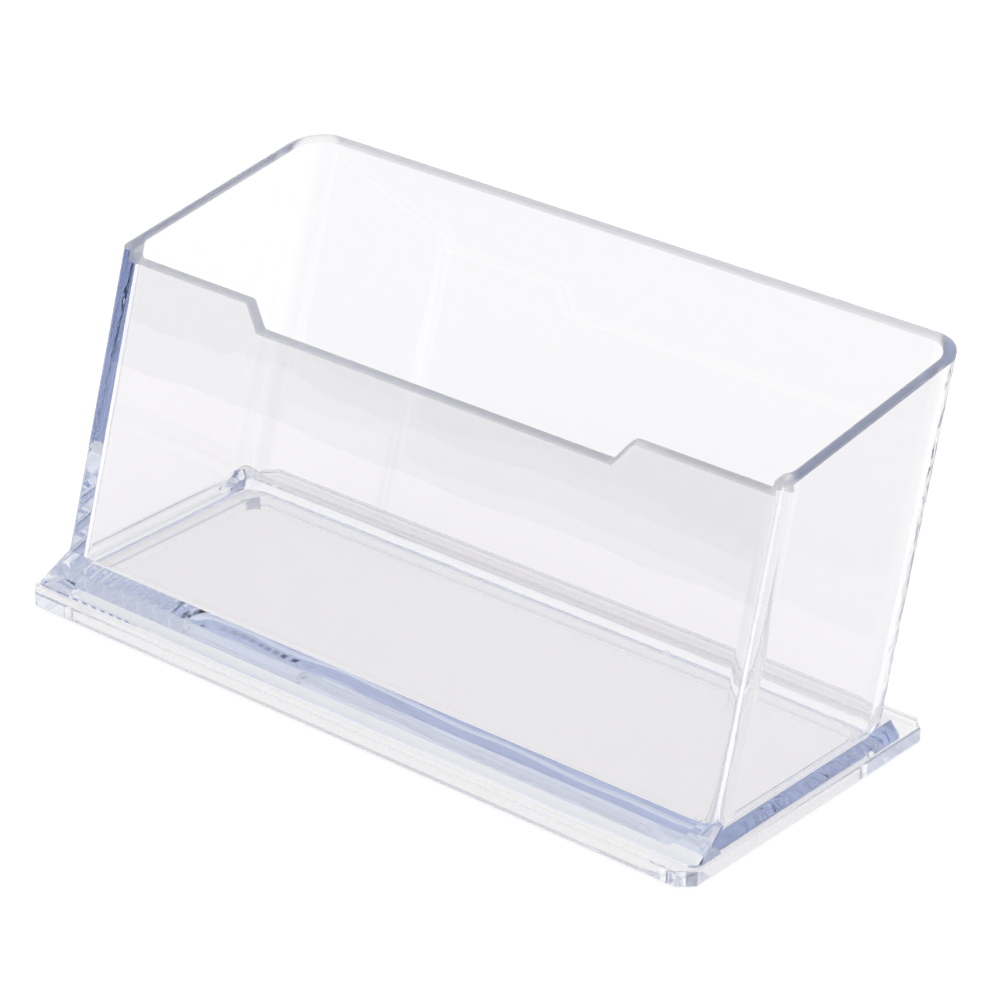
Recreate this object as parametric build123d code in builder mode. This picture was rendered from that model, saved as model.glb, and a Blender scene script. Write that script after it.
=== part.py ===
# Business card holder stand: a clear leaning card box seated in a clear base frame.
# Sizes are in mm. X runs along a card's long side, Y from the front to the back, Z is up.
# The origin is the middle of the whole footprint, the leaning back included, on the table.
import math
import os

from build123d import *

os.makedirs("parts", exist_ok=True)

# base frame, a moulded ring that the box stands on
base_width = 98.6
base_depth = 43.0
base_height = 2.1
base_corner = 1.7
base_top_edge = 0.3
base_foot_edge = 0.5
frame_front = 2.3
frame_side = 4.4
frame_back = 7.9
opening_corner = 3.0

# card box, outside
box_lean = 16.5
box_side_inset = 0.7
box_front_inset = 5.6
box_back_inset = 6.1
side_draft = 0.6
front_rise = 38.4
back_rise = 43.2
front_corner = 0.7
back_corner = 4.5

# card box, inside
wall_at_foot = 1.5
wall_at_rim = 1.35
floor_rise = 1.1
cove_radius = 1.8
cove_limit_share = 0.95
inner_front_corner = 1.6
inner_back_corner = 3.4

# front wall's rim, lower than the corners beside it, and the finger notch in it
front_drop = 1.2
front_drop_inset = 1.9
notch_width = 51.0
notch_flare = 2.2
notch_depth = 2.8
notch_corner = 0.8

# soft edge along the rim and round the notch
rim_edge = 0.3

# sloping plinth round the foot of the box
plinth_rise = 2.75
plinth_edge = 0.3
plinth_inset = 0.3
plinth_front_inset = 1.6
plinth_back = 1.6
plinth_corner = 1.2

# spigot under the floor that locates in the frame's opening
spigot_drop = 0.4
spigot_clearance = 0.1

cut_overrun = 3.0

# places that follow from the sizes above
lean_run_share = math.tan(math.radians(box_lean))
foot_width = base_width - 2 * box_side_inset
rim_width = foot_width - 2 * side_draft
box_depth = base_depth - box_front_inset - box_back_inset
back_overhang = back_rise * lean_run_share - box_back_inset
base_front = -(base_depth + back_overhang) / 2
base_back = base_front + base_depth
foot_back = base_back - box_back_inset
foot_front = foot_back - box_depth
rim_front = foot_front + front_rise * lean_run_share
rim_back = foot_back + back_rise * lean_run_share
rim_slope = math.degrees(math.atan2(back_rise - front_rise, rim_back - rim_front))
top_rise = back_rise + cut_overrun


def box_width(rise):
    """Outside width of the box at one height above its foot, drawing in evenly up to the rim."""
    return foot_width + (rim_width - foot_width) * rise / back_rise


def wall_at(rise):
    """Wall thickness at one height above the foot, thinning evenly from the foot to the rim."""
    return wall_at_foot + (wall_at_rim - wall_at_foot) * rise / back_rise


def box_outline(rise, inset, near_corner, far_corner, forward=0, backward=0):
    """Outline of the leaning box at one height, drawn in by the inset and carried on at either end."""
    with BuildSketch(Plane.XY.offset(base_height + rise)) as outline:
        with Locations((0, foot_front + (box_depth + backward - forward) / 2 + rise * lean_run_share)):
            Rectangle(box_width(rise) - 2 * inset, box_depth + backward + forward - 2 * inset)
        fillet(outline.vertices().group_by(Axis.Y)[0], near_corner)
        fillet(outline.vertices().group_by(Axis.Y)[-1], far_corner)
    return outline.sketch


def hollow_outlines(corner, forward, backward):
    """Outlines of the hollow at the floor and above the rim, carried on past the front or the back."""
    return [
        box_outline(rise, wall_at(rise), corner, corner, forward, backward)
        for rise in (floor_rise, top_rise)
    ]


def plinth_outline(rise, width, front, back, corner):
    """Outline of the plinth at one height above the frame, between its front and back edges."""
    with BuildSketch(Plane.XY.offset(base_height + rise)) as outline:
        with Locations((0, (front + back) / 2)):
            RectangleRounded(width, back - front, corner)
    return outline.sketch


def opening_outline(height, gap):
    """Outline of the frame's opening at one height, drawn in by the gap."""
    opening_front = base_front + frame_front
    opening_back = base_back - frame_back
    with BuildSketch(Plane.XY.offset(height)) as outline:
        with Locations((0, (opening_front + opening_back) / 2)):
            RectangleRounded(
                base_width - 2 * frame_side - 2 * gap,
                opening_back - opening_front - 2 * gap,
                opening_corner - gap,
            )
    return outline.sketch


# the hollow of the box, rounded where the floor meets the sides and the back; its front is cut by
# a second shape with upright round corners, which leaves the floor's front edge tight
with BuildPart() as card_space:
    loft(hollow_outlines(inner_back_corner, box_depth, 0), ruled=True)
    # the cove stays tighter than the corners it runs round
    cove_limit = cove_limit_share * inner_back_corner
    fillet(card_space.faces().sort_by(Axis.Z)[0].edges(), min(cove_radius, cove_limit))
    loft(hollow_outlines(inner_front_corner, 0, box_depth), ruled=True, mode=Mode.INTERSECT)

# card box: walls, floor and sloping plinth in one moulding, cut off along the rising rim
with BuildPart() as card_box:
    loft(
        [
            box_outline(0, 0, front_corner, back_corner),
            box_outline(top_rise, 0, front_corner, back_corner),
        ],
        ruled=True,
    )
    # plinth with an upright edge below and a slope above that runs into the walls
    plinth_width = base_width - 2 * plinth_inset
    plinth_front = base_front + plinth_front_inset
    plinth_end = foot_back + plinth_back
    crease_front = foot_front + plinth_rise * lean_run_share
    crease_end = foot_back
    extrude(plinth_outline(0, plinth_width, plinth_front, plinth_end, plinth_corner), amount=plinth_edge)
    loft(
        [
            plinth_outline(plinth_edge, plinth_width, plinth_front, plinth_end, plinth_corner),
            plinth_outline(plinth_rise, box_width(plinth_rise), crease_front, crease_end, front_corner),
        ],
        ruled=True,
    )
    # spigot that drops into the frame's opening
    extrude(opening_outline(base_height - spigot_drop, spigot_clearance), amount=spigot_drop)
    add(card_space.part, mode=Mode.SUBTRACT)
    rim_plane = Plane(
        origin=(0, rim_front, base_height + front_rise),
        x_dir=(1, 0, 0),
        z_dir=(0, -math.sin(math.radians(rim_slope)), math.cos(math.radians(rim_slope))),
    )
    split(bisect_by=rim_plane, keep=Keep.BOTTOM)
    # front rim cut down between the corners, and a finger notch in it that widens upwards
    front_level = base_height + front_rise - front_drop
    notch_floor = front_level - notch_depth
    notch_top = front_level + front_drop + cut_overrun
    front_half = rim_width / 2 - front_drop_inset
    with BuildSketch(Plane.XZ.offset(-rim_front - box_depth / 2)) as notch_shape:
        with BuildLine():
            Polyline(
                (-notch_width / 2, notch_floor),
                (-notch_width / 2 - notch_flare, front_level),
                (-front_half, front_level),
                (-front_half, notch_top),
                (front_half, notch_top),
                (front_half, front_level),
                (notch_width / 2 + notch_flare, front_level),
                (notch_width / 2, notch_floor),
                close=True,
            )
        make_face()
        fillet(notch_shape.vertices().group_by(Axis.Y)[0], notch_corner)
        fillet(notch_shape.vertices().group_by(Axis.Y)[-2], notch_corner)
    extrude(amount=box_depth, mode=Mode.SUBTRACT)
    # soft edges along the rim and round the cuts
    cut_edges = card_box.edges(Select.LAST).filter_by(Axis.Y, reverse=True)
    cut_edges = cut_edges.filter_by_position(Axis.Z, notch_floor - notch_corner, notch_top)
    fillet(card_box.faces().filter_by(rim_plane).edges() + cut_edges, rim_edge)
card_box.part.label = "card_box"

# base frame: flat ring with cut corners and soft edges, wider behind so that the leaning box can't tip
with BuildPart() as base_frame:
    with BuildSketch() as footprint:
        with Locations((0, (base_front + base_back) / 2)):
            Rectangle(base_width, base_depth)
        chamfer(footprint.vertices(), base_corner)
    extrude(amount=base_height)
    fillet(base_frame.faces().sort_by(Axis.Z)[-1].edges(), base_top_edge)
    fillet(base_frame.faces().sort_by(Axis.Z)[0].edges(), base_foot_edge)
    extrude(opening_outline(0, 0), amount=base_height, mode=Mode.SUBTRACT)
base_frame.part.label = "base_frame"

export_step(card_box.part, "parts/card_box.step")
export_step(base_frame.part, "parts/base_frame.step")
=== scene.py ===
# Business card holder stand: a clear leaning card box seated in a clear base frame.
import math

import bpy
from mathutils import Matrix, Vector

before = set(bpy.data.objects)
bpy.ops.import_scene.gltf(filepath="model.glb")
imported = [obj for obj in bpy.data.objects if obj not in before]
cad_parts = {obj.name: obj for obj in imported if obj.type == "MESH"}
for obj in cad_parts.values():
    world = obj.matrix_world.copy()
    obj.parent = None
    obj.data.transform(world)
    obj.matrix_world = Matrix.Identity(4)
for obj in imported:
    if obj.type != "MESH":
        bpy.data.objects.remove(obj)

scene = bpy.context.scene
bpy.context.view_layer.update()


# Card box: the leaning pocket that holds the cards, with its floor, finger notch and sloping foot.
# Clear polystyrene, injection moulded in one piece: the polished mould leaves it glossy, with faint
# flow ripples and a few pinhead specks, and it looks blue where light runs a long way inside it.
def maths(tree, operation, *values):
    """One step of arithmetic in a node tree, between sockets or plain numbers."""
    node = tree.nodes.new("ShaderNodeMath")
    node.operation = operation
    for socket, value in zip(node.inputs, values):
        if isinstance(value, bpy.types.NodeSocket):
            tree.links.new(value, socket)
        else:
            socket.default_value = value
    return node.outputs[0]


def moulding_marks_group():
    """Marks that the mould and handling leave, as a height and a roughness over the surface.

    The ripple is broad noise, drawn out upwards as the melt flowed. A speck is a dome round the middle of
    a random cell, kept in only the few cells whose random value passes the share. The haze is finer
    noise, raised to a power so that it gathers in patches, and it adds to the polish.
    """
    flow_stretch = (1.0, 1.0, 0.35)
    ripple_detail = 1.0
    speck_radius = 0.05
    speck_height = 0.5
    speck_roughness = 0.2
    haze_scale = 90.0
    haze_detail = 4.0
    haze_power = 3.0
    group = bpy.data.node_groups.new("moulding_marks", "ShaderNodeTree")
    for name in ("Ripple Scale", "Speck Scale", "Speck Share", "Polish", "Haze"):
        group.interface.new_socket(name, in_out="INPUT", socket_type="NodeSocketFloat")
    for name in ("Height", "Roughness"):
        group.interface.new_socket(name, in_out="OUTPUT", socket_type="NodeSocketFloat")
    nodes, links = group.nodes, group.links
    given = nodes.new("NodeGroupInput")
    put_out = nodes.new("NodeGroupOutput")
    place = nodes.new("ShaderNodeTexCoord")

    flow = nodes.new("ShaderNodeMapping")
    flow.inputs["Scale"].default_value = flow_stretch
    links.new(place.outputs["Object"], flow.inputs["Vector"])
    ripple = nodes.new("ShaderNodeTexNoise")
    ripple.inputs["Detail"].default_value = ripple_detail
    links.new(flow.outputs["Vector"], ripple.inputs["Vector"])
    links.new(given.outputs["Ripple Scale"], ripple.inputs["Scale"])

    cells = nodes.new("ShaderNodeTexVoronoi")
    links.new(place.outputs["Object"], cells.inputs["Vector"])
    links.new(given.outputs["Speck Scale"], cells.inputs["Scale"])
    pick = nodes.new("ShaderNodeSeparateColor")
    links.new(cells.outputs["Color"], pick.inputs["Color"])
    chosen = maths(group, "LESS_THAN", pick.outputs["Red"], given.outputs["Speck Share"])
    dome = nodes.new("ShaderNodeMapRange")
    dome.interpolation_type = "SMOOTHSTEP"
    dome.inputs["From Min"].default_value = speck_radius
    dome.inputs["From Max"].default_value = 0.0
    links.new(cells.outputs["Distance"], dome.inputs["Value"])
    speck = maths(group, "MULTIPLY", dome.outputs["Result"], chosen)

    film = nodes.new("ShaderNodeTexNoise")
    film.inputs["Scale"].default_value = haze_scale
    film.inputs["Detail"].default_value = haze_detail
    links.new(place.outputs["Object"], film.inputs["Vector"])
    patches = maths(group, "POWER", film.outputs["Fac"], haze_power)

    relief = maths(group, "MULTIPLY_ADD", speck, speck_height, ripple.outputs["Fac"])
    links.new(relief, put_out.inputs["Height"])
    worn = maths(group, "MULTIPLY_ADD", patches, given.outputs["Haze"], given.outputs["Polish"])
    links.new(maths(group, "MULTIPLY_ADD", speck, speck_roughness, worn), put_out.inputs["Roughness"])
    return group


def clear_plastic(name, marks, depth, density):
    """Clear polystyrene with its own moulding marks: a glassy skin round a body that takes up red light."""
    skin_tint = (0.92, 0.915, 0.92, 1.0)
    body_tint = (0.06, 0.23, 0.63, 1.0)
    polystyrene_ior = 1.59
    material = bpy.data.materials.new(name)
    material.use_nodes = True
    nodes, links = material.node_tree.nodes, material.node_tree.links
    skin = nodes["Principled BSDF"]
    skin.inputs["Base Color"].default_value = skin_tint
    skin.inputs["IOR"].default_value = polystyrene_ior
    skin.inputs["Transmission Weight"].default_value = 1.0
    body = nodes.new("ShaderNodeVolumeAbsorption")
    body.inputs["Color"].default_value = body_tint
    body.inputs["Density"].default_value = density
    links.new(body.outputs["Volume"], nodes["Material Output"].inputs["Volume"])
    pattern = nodes.new("ShaderNodeGroup")
    pattern.node_tree = moulding_marks
    for socket, value in marks.items():
        pattern.inputs[socket].default_value = value
    relief = nodes.new("ShaderNodeBump")
    relief.inputs["Strength"].default_value = 1.0
    relief.inputs["Distance"].default_value = depth
    links.new(pattern.outputs["Height"], relief.inputs["Height"])
    links.new(relief.outputs["Normal"], skin.inputs["Normal"])
    links.new(pattern.outputs["Roughness"], skin.inputs["Roughness"])
    return material


def smooth_skin_nodes():
    """Joins the triangles and shades the rounds smooth, leaving edges over half a radian sharp."""
    join_distance = 1e-6
    sharp_angle = 0.5
    tree = bpy.data.node_groups.new("smooth_skin", "GeometryNodeTree")
    tree.is_modifier = True
    tree.interface.new_socket("Mesh", in_out="INPUT", socket_type="NodeSocketGeometry")
    tree.interface.new_socket("Mesh", in_out="OUTPUT", socket_type="NodeSocketGeometry")
    nodes, links = tree.nodes, tree.links
    joined = nodes.new("GeometryNodeMergeByDistance")
    joined.inputs["Distance"].default_value = join_distance
    rounded = nodes.new("GeometryNodeSetShadeSmooth")
    rounded.domain = "FACE"
    bend = nodes.new("GeometryNodeInputMeshEdgeAngle")
    sharp = nodes.new("FunctionNodeCompare")
    sharp.operation = "GREATER_THAN"
    sharp.inputs["B"].default_value = sharp_angle
    creased = nodes.new("GeometryNodeSetShadeSmooth")
    creased.domain = "EDGE"
    creased.inputs["Shade Smooth"].default_value = False
    links.new(nodes.new("NodeGroupInput").outputs["Mesh"], joined.inputs["Geometry"])
    links.new(joined.outputs["Geometry"], rounded.inputs["Geometry"])
    links.new(rounded.outputs["Geometry"], creased.inputs["Geometry"])
    links.new(bend.outputs["Unsigned Angle"], sharp.inputs["A"])
    links.new(sharp.outputs["Result"], creased.inputs["Selection"])
    links.new(creased.outputs["Geometry"], nodes.new("NodeGroupOutput").inputs["Mesh"])
    return tree


def finish_moulding(piece, material):
    """Gives a moulding its plastic, its smooth rounds, and half of the thin bond line to the next piece."""
    half_bond_line = 0.00002
    piece.material_slots[0].material = material
    piece.modifiers.new("smooth_skin", "NODES").node_group = smooth_skin
    bond_line = piece.modifiers.new("bond_line", "DISPLACE")
    bond_line.mid_level = 0.0
    bond_line.strength = -half_bond_line
    flats = piece.modifiers.new("flats_stay_flat", "WEIGHTED_NORMAL")
    flats.keep_sharp = True
    flats.weight = 100


def frost_rim(material):
    """Frosts the rim and the notch's edges, where the mould closes, by raising the roughness under a mask.

    The rim's mask is the height over a plane half a millimetre under the sloping rim. The notch's mask is
    the height over its floor, between its flared sides, or over the lower front rim. Both of these are
    kept to the front wall.
    """
    frost_roughness = 0.9
    frost_depth = 0.0005
    soft = 0.0002
    rim_front, rim_height, rim_slope = -0.00787, 0.0405, 0.1467
    notch_floor, notch_half, notch_flare = 0.0365, 0.0255, 0.79
    front_rim, front_half, front_wall = 0.0393, 0.0466, -0.0062
    tree = material.node_tree
    nodes, links = tree.nodes, tree.links
    spot = nodes.new("ShaderNodeSeparateXYZ")
    links.new(nodes.new("ShaderNodeTexCoord").outputs["Object"], spot.inputs["Vector"])
    x, y, z = (spot.outputs[axis] for axis in "XYZ")

    def step(value, start, end):
        """Rises smoothly from 0 at the start to 1 at the end."""
        node = nodes.new("ShaderNodeMapRange")
        node.interpolation_type = "SMOOTHSTEP"
        links.new(value, node.inputs["Value"])
        node.inputs["From Min"].default_value = start
        node.inputs["From Max"].default_value = end
        return node.outputs["Result"]

    rim_level = rim_height - rim_front * rim_slope - frost_depth
    over_rim = maths(tree, "SUBTRACT", z, maths(tree, "MULTIPLY", y, rim_slope))
    rim = step(over_rim, rim_level, rim_level + soft)
    aside = maths(tree, "ABSOLUTE", x)
    over_floor = maths(tree, "SUBTRACT", z, notch_floor)
    flared = maths(tree, "MULTIPLY", over_floor, notch_flare)
    past_side = maths(tree, "SUBTRACT", aside, maths(tree, "ADD", flared, notch_half + frost_depth))
    notch_above = step(over_floor, -frost_depth, soft - frost_depth)
    notch = maths(tree, "MULTIPLY", notch_above, step(past_side, soft, 0.0))
    front_above = step(z, front_rim - frost_depth, front_rim - frost_depth + soft)
    front = maths(tree, "MULTIPLY", front_above, step(aside, front_half + soft, front_half))
    on_front_wall = step(y, front_wall + soft, front_wall)
    cuts = maths(tree, "MULTIPLY", maths(tree, "MAXIMUM", notch, front), on_front_wall)
    skin = nodes["Principled BSDF"]
    polish = skin.inputs["Roughness"].links[0].from_socket
    frost = maths(tree, "MULTIPLY", maths(tree, "MAXIMUM", rim, cuts), frost_roughness)
    links.new(maths(tree, "MAXIMUM", polish, frost), skin.inputs["Roughness"])


moulding_marks = moulding_marks_group()
smooth_skin = smooth_skin_nodes()
box_plastic = clear_plastic(
    "card_box_plastic",
    {"Ripple Scale": 45.0, "Speck Scale": 160.0, "Speck Share": 0.008, "Polish": 0.004, "Haze": 0.02},
    depth=0.00005,
    density=8.5,
)
frost_rim(box_plastic)
finish_moulding(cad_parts["card_box"], box_plastic)


# Base frame: the flat ring that the box's spigot drops into and is bonded to. The same clear
# polystyrene, moulded separately, with softer edges and more haze from standing on desks.
frame_plastic = clear_plastic(
    "base_frame_plastic",
    {"Ripple Scale": 70.0, "Speck Scale": 190.0, "Speck Share": 0.02, "Polish": 0.006, "Haze": 0.04},
    depth=0.00004,
    density=3.0,
)
finish_moulding(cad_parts["base_frame"], frame_plastic)


# Table: a plain white sweep of card, wide enough to fill every view. It glows a little, as a lit
# product table does, so that the clear plastic stands on white from all sides.
table_half = 3.0
table_level = -0.0001
table_grey = (0.3, 0.3, 0.3, 1.0)
table_glow = (1.0, 0.985, 0.985, 1.0)
table_glow_strength = 0.82
table_mesh = bpy.data.meshes.new("table")
table_mesh.from_pydata(
    [(x * table_half, y * table_half, table_level) for x, y in ((-1, -1), (1, -1), (1, 1), (-1, 1))],
    [],
    [(0, 1, 2, 3)],
)
table = bpy.data.objects.new("table", table_mesh)
scene.collection.objects.link(table)
table_card = bpy.data.materials.new("table_card")
table_card.use_nodes = True
card_skin = table_card.node_tree.nodes["Principled BSDF"]
card_skin.inputs["Base Color"].default_value = table_grey
card_skin.inputs["Roughness"].default_value = 0.9
card_skin.inputs["Specular IOR Level"].default_value = 0.0
card_skin.inputs["Emission Color"].default_value = table_glow
card_skin.inputs["Emission Strength"].default_value = table_glow_strength
table_mesh.materials.append(table_card)


# Studio: a white tent that falls off to a dim, bluish opening at table level on the front left, which
# the leaning walls mirror. The colour follows the direction's height, and how far it turns to the opening.
tent_white = (1.0, 1.0, 1.0, 1.0)
opening_blue = (0.28, 0.31, 0.37, 1.0)
opening_direction = (-0.58, -0.81, 0.0)
white_from_height, dim_from_height = 0.7, 0.05
turn_begins, turn_full, dimness_elsewhere = 0.3, 0.85, 0.3
tent_strength = 1.1
# light crosses and mirrors inside clear plastic many times, so its paths are let run long
light_bounces, surface_bounces, body_bounces = 128, 64, 8
studio = bpy.data.worlds.new("studio")
studio.use_nodes = True
room_nodes, room_links = studio.node_tree.nodes, studio.node_tree.links
looking = room_nodes.new("ShaderNodeTexCoord")
height = room_nodes.new("ShaderNodeSeparateXYZ")
room_links.new(looking.outputs["Generated"], height.inputs["Vector"])
low = room_nodes.new("ShaderNodeMapRange")
low.interpolation_type = "SMOOTHSTEP"
low.inputs["From Min"].default_value = white_from_height
low.inputs["From Max"].default_value = dim_from_height
room_links.new(height.outputs["Z"], low.inputs["Value"])
turned = room_nodes.new("ShaderNodeVectorMath")
turned.operation = "DOT_PRODUCT"
turned.inputs[1].default_value = opening_direction
room_links.new(looking.outputs["Generated"], turned.inputs[0])
opening = room_nodes.new("ShaderNodeMapRange")
opening.interpolation_type = "SMOOTHSTEP"
opening.inputs["From Min"].default_value = turn_begins
opening.inputs["From Max"].default_value = turn_full
opening.inputs["To Min"].default_value = dimness_elsewhere
room_links.new(turned.outputs["Value"], opening.inputs["Value"])
dimness = maths(studio.node_tree, "MULTIPLY", low.outputs["Result"], opening.outputs["Result"])
tent = room_nodes.new("ShaderNodeValToRGB")
tent.color_ramp.elements[0].color = tent_white
tent.color_ramp.elements[1].color = opening_blue
room_links.new(dimness, tent.inputs["Fac"])
room_links.new(tent.outputs["Color"], room_nodes["Background"].inputs["Color"])
room_nodes["Background"].inputs["Strength"].default_value = tent_strength
scene.world = studio
scene.view_settings.view_transform = "Standard"
scene.cycles.max_bounces = light_bounces
scene.cycles.transmission_bounces = light_bounces
scene.cycles.glossy_bounces = surface_bounces
scene.cycles.diffuse_bounces = surface_bounces
scene.cycles.transparent_max_bounces = light_bounces
scene.cycles.volume_bounces = body_bounces


# Camera: a long lens from the front right, a little above. Its place, two angles and focal length were
# found by fitting the corners of the outline.
camera_place = (0.2758, -0.319208, 0.2316)
turn, lift = math.radians(40.59), math.radians(26.62)
towards = Vector((math.sin(turn) * math.cos(lift), -math.cos(turn) * math.cos(lift), math.sin(lift)))
across = Vector((math.cos(turn), math.sin(turn), 0.0))
upright = towards.cross(across)
lens = bpy.data.cameras.new("camera")
lens.sensor_width = 36.0
lens.lens = 151.6
lens.shift_x = 0.0015
lens.clip_start = 0.01
camera = bpy.data.objects.new("camera", lens)
facing = Matrix((across, upright, towards)).transposed().to_4x4()
camera.matrix_world = Matrix.Translation(camera_place) @ facing
scene.collection.objects.link(camera)
scene.camera = camera
